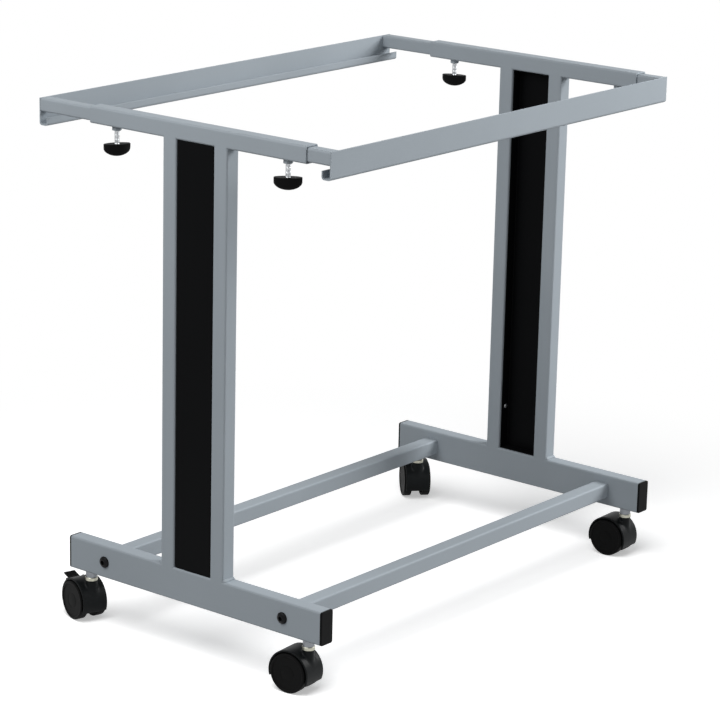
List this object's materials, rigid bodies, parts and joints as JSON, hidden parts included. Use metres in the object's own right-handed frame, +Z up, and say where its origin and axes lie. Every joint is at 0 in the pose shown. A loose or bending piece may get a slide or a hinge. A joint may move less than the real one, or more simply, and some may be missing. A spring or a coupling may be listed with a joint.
{
  "type": "mobile file cart",
  "caption": "Wheeled tube-frame cart whose sliding rails hold hanging files and lock with wing screws, with a black panel in each end frame and hooded twin-wheel casters.",
  "frame": {"origin": "on the floor, under the middle of the bounding box", "axes": "+X to the right seen from the near end frame, +Y along the rails from the near end to the far end, +Z up"},
  "size_m": [0.4384, 0.696, 0.628],
  "materials": {
    "frame_paint": "silver-grey powder coat, fine texture, satin",
    "black_panel": "black powder coat, satin",
    "black_plastic": "black moulded plastic, fine grain",
    "wheel_plastic": "black moulded nylon, matt on the tread",
    "zinc_steel": "bright zinc plate",
    "black_steel": "black oxide"
  },
  "bodies": {
    "base": {"near_foot_tube": "frame_paint", "near_left_column": "frame_paint", "near_right_column": "frame_paint", "near_sleeve_tube": "frame_paint", "near_column_panel": "black_panel", "near_left_foot_cap": "black_plastic", "near_right_foot_cap": "black_plastic", "near_left_caster_stem": "zinc_steel", "near_right_caster_stem": "zinc_steel", "far_foot_tube": "frame_paint", "far_left_column": "frame_paint", "far_right_column": "frame_paint", "far_sleeve_tube": "frame_paint", "far_column_panel": "black_panel", "far_left_foot_cap": "black_plastic", "far_right_foot_cap": "black_plastic", "far_left_caster_stem": "zinc_steel", "far_right_caster_stem": "zinc_steel", "left_stretcher": "frame_paint", "near_left_stretcher_plug": "zinc_steel", "near_left_stretcher_bolt": "black_steel", "far_left_stretcher_plug": "zinc_steel", "far_left_stretcher_bolt": "black_steel", "right_stretcher": "frame_paint", "near_right_stretcher_plug": "zinc_steel", "near_right_stretcher_bolt": "black_steel", "far_right_stretcher_plug": "zinc_steel", "far_right_stretcher_bolt": "black_steel"},
    "left_rail": {"left_rail": "frame_paint", "left_rail_near_arm": "frame_paint", "left_rail_far_arm": "frame_paint"},
    "right_rail": {"right_rail": "frame_paint", "right_rail_near_arm": "frame_paint", "right_rail_far_arm": "frame_paint"},
    "near_left_clamp_screw": {"near_left_clamp_screw": "zinc_steel"},
    "near_left_clamp_knob": {"near_left_clamp_knob": "black_plastic"},
    "near_right_clamp_screw": {"near_right_clamp_screw": "zinc_steel"},
    "near_right_clamp_knob": {"near_right_clamp_knob": "black_plastic"},
    "far_left_clamp_screw": {"far_left_clamp_screw": "zinc_steel"},
    "far_left_clamp_knob": {"far_left_clamp_knob": "black_plastic"},
    "far_right_clamp_screw": {"far_right_clamp_screw": "zinc_steel"},
    "far_right_clamp_knob": {"far_right_clamp_knob": "black_plastic"},
    "near_left_caster": {"near_left_caster_hood": "black_plastic", "near_left_caster_axle": "zinc_steel"},
    "near_left_wheel_a": {"near_left_caster_wheel_a": "wheel_plastic"},
    "near_left_wheel_b": {"near_left_caster_wheel_b": "wheel_plastic"},
    "near_left_brake": {"near_left_brake_lever": "black_plastic"},
    "near_right_caster": {"near_right_caster_hood": "black_plastic", "near_right_caster_axle": "zinc_steel"},
    "near_right_wheel_a": {"near_right_caster_wheel_a": "wheel_plastic"},
    "near_right_wheel_b": {"near_right_caster_wheel_b": "wheel_plastic"},
    "far_left_caster": {"far_left_caster_hood": "black_plastic", "far_left_caster_axle": "zinc_steel"},
    "far_left_wheel_a": {"far_left_caster_wheel_a": "wheel_plastic"},
    "far_left_wheel_b": {"far_left_caster_wheel_b": "wheel_plastic"},
    "far_left_brake": {"far_left_brake_lever": "black_plastic"},
    "far_right_caster": {"far_right_caster_hood": "black_plastic", "far_right_caster_axle": "zinc_steel"},
    "far_right_wheel_a": {"far_right_caster_wheel_a": "wheel_plastic"},
    "far_right_wheel_b": {"far_right_caster_wheel_b": "wheel_plastic"}
  },
  "joints": [
    {"name": "left_rail_slide", "type": "slide", "parent": "base", "child": "left_rail", "axis": [-1, 0, 0], "range_m": [-0.0805, 0.03]},
    {"name": "right_rail_slide", "type": "slide", "parent": "base", "child": "right_rail", "axis": [1, 0, 0], "range_m": [-0.0315, 0.079]},
    {"name": "near_left_clamp_travel", "type": "slide", "parent": "base", "child": "near_left_clamp_screw", "axis": [0, 0, -1], "range_m": [0, 0.00201]},
    {"name": "near_left_clamp_turn", "type": "hinge", "parent": "near_left_clamp_screw", "child": "near_left_clamp_knob", "pos_m": [-0.10375, -0.32674, 0.58], "axis": [0, 0, -1], "range_deg": [0, 720]},
    {"name": "near_right_clamp_travel", "type": "slide", "parent": "base", "child": "near_right_clamp_screw", "axis": [0, 0, -1], "range_m": [0, 0.00201]},
    {"name": "near_right_clamp_turn", "type": "hinge", "parent": "near_right_clamp_screw", "child": "near_right_clamp_knob", "pos_m": [0.15125, -0.32674, 0.58], "axis": [0, 0, -1], "range_deg": [0, 720]},
    {"name": "far_left_clamp_travel", "type": "slide", "parent": "base", "child": "far_left_clamp_screw", "axis": [0, 0, -1], "range_m": [0, 0.00201]},
    {"name": "far_left_clamp_turn", "type": "hinge", "parent": "far_left_clamp_screw", "child": "far_left_clamp_knob", "pos_m": [-0.10375, 0.30626, 0.58], "axis": [0, 0, -1], "range_deg": [0, 720]},
    {"name": "far_right_clamp_travel", "type": "slide", "parent": "base", "child": "far_right_clamp_screw", "axis": [0, 0, -1], "range_m": [0, 0.00201]},
    {"name": "far_right_clamp_turn", "type": "hinge", "parent": "far_right_clamp_screw", "child": "far_right_clamp_knob", "pos_m": [0.15125, 0.30626, 0.58], "axis": [0, 0, -1], "range_deg": [0, 720]},
    {"name": "near_left_caster_swivel", "type": "hinge", "parent": "base", "child": "near_left_caster", "pos_m": [-0.14525, -0.32674, 0.05], "axis": [0, 0, 1], "continuous": true},
    {"name": "near_left_wheel_a_spin", "type": "hinge", "parent": "near_left_caster", "child": "near_left_wheel_a", "pos_m": [-0.16159, -0.32206, 0.0235], "axis": [0.2756, 0.9613, 0], "continuous": true},
    {"name": "near_left_wheel_b_spin", "type": "hinge", "parent": "near_left_caster", "child": "near_left_wheel_b", "pos_m": [-0.16159, -0.32206, 0.0235], "axis": [0.2756, 0.9613, 0], "continuous": true},
    {"name": "near_left_brake_press", "type": "hinge", "parent": "near_left_caster", "child": "near_left_brake", "pos_m": [-0.18206, -0.31619, 0.04136], "axis": [-0.2756, -0.9613, 0], "range_deg": [0, 22]},
    {"name": "near_right_caster_swivel", "type": "hinge", "parent": "base", "child": "near_right_caster", "pos_m": [0.19275, -0.32674, 0.05], "axis": [0, 0, 1], "continuous": true},
    {"name": "near_right_wheel_a_spin", "type": "hinge", "parent": "near_right_caster", "child": "near_right_wheel_a", "pos_m": [0.17581, -0.32822, 0.0235], "axis": [-0.0872, 0.9962, 0], "continuous": true},
    {"name": "near_right_wheel_b_spin", "type": "hinge", "parent": "near_right_caster", "child": "near_right_wheel_b", "pos_m": [0.17581, -0.32822, 0.0235], "axis": [-0.0872, 0.9962, 0], "continuous": true},
    {"name": "far_left_caster_swivel", "type": "hinge", "parent": "base", "child": "far_left_caster", "pos_m": [-0.14525, 0.30626, 0.05], "axis": [0, 0, 1], "continuous": true},
    {"name": "far_left_wheel_a_spin", "type": "hinge", "parent": "far_left_caster", "child": "far_left_wheel_a", "pos_m": [-0.15788, 0.31763, 0.0235], "axis": [0.6691, 0.7431, 0], "continuous": true},
    {"name": "far_left_wheel_b_spin", "type": "hinge", "parent": "far_left_caster", "child": "far_left_wheel_b", "pos_m": [-0.15788, 0.31763, 0.0235], "axis": [0.6691, 0.7431, 0], "continuous": true},
    {"name": "far_left_brake_press", "type": "hinge", "parent": "far_left_caster", "child": "far_left_brake", "pos_m": [-0.1737, 0.33188, 0.04136], "axis": [-0.6691, -0.7431, 0], "range_deg": [0, 22]},
    {"name": "far_right_caster_swivel", "type": "hinge", "parent": "base", "child": "far_right_caster", "pos_m": [0.19275, 0.30626, 0.05], "axis": [0, 0, 1], "continuous": true},
    {"name": "far_right_wheel_a_spin", "type": "hinge", "parent": "far_right_caster", "child": "far_right_wheel_a", "pos_m": [0.17576, 0.30566, 0.0235], "axis": [-0.0349, 0.9994, 0], "continuous": true},
    {"name": "far_right_wheel_b_spin", "type": "hinge", "parent": "far_right_caster", "child": "far_right_wheel_b", "pos_m": [0.17576, 0.30566, 0.0235], "axis": [-0.0349, 0.9994, 0], "continuous": true}
  ],
  "couplings": [
    {"joint": "near_left_clamp_travel", "follows": "near_left_clamp_turn", "m_per_rad": 0.00015915},
    {"joint": "near_right_clamp_travel", "follows": "near_right_clamp_turn", "m_per_rad": 0.00015915},
    {"joint": "far_left_clamp_travel", "follows": "far_left_clamp_turn", "m_per_rad": 0.00015915},
    {"joint": "far_right_clamp_travel", "follows": "far_right_clamp_turn", "m_per_rad": 0.00015915}
  ]
}
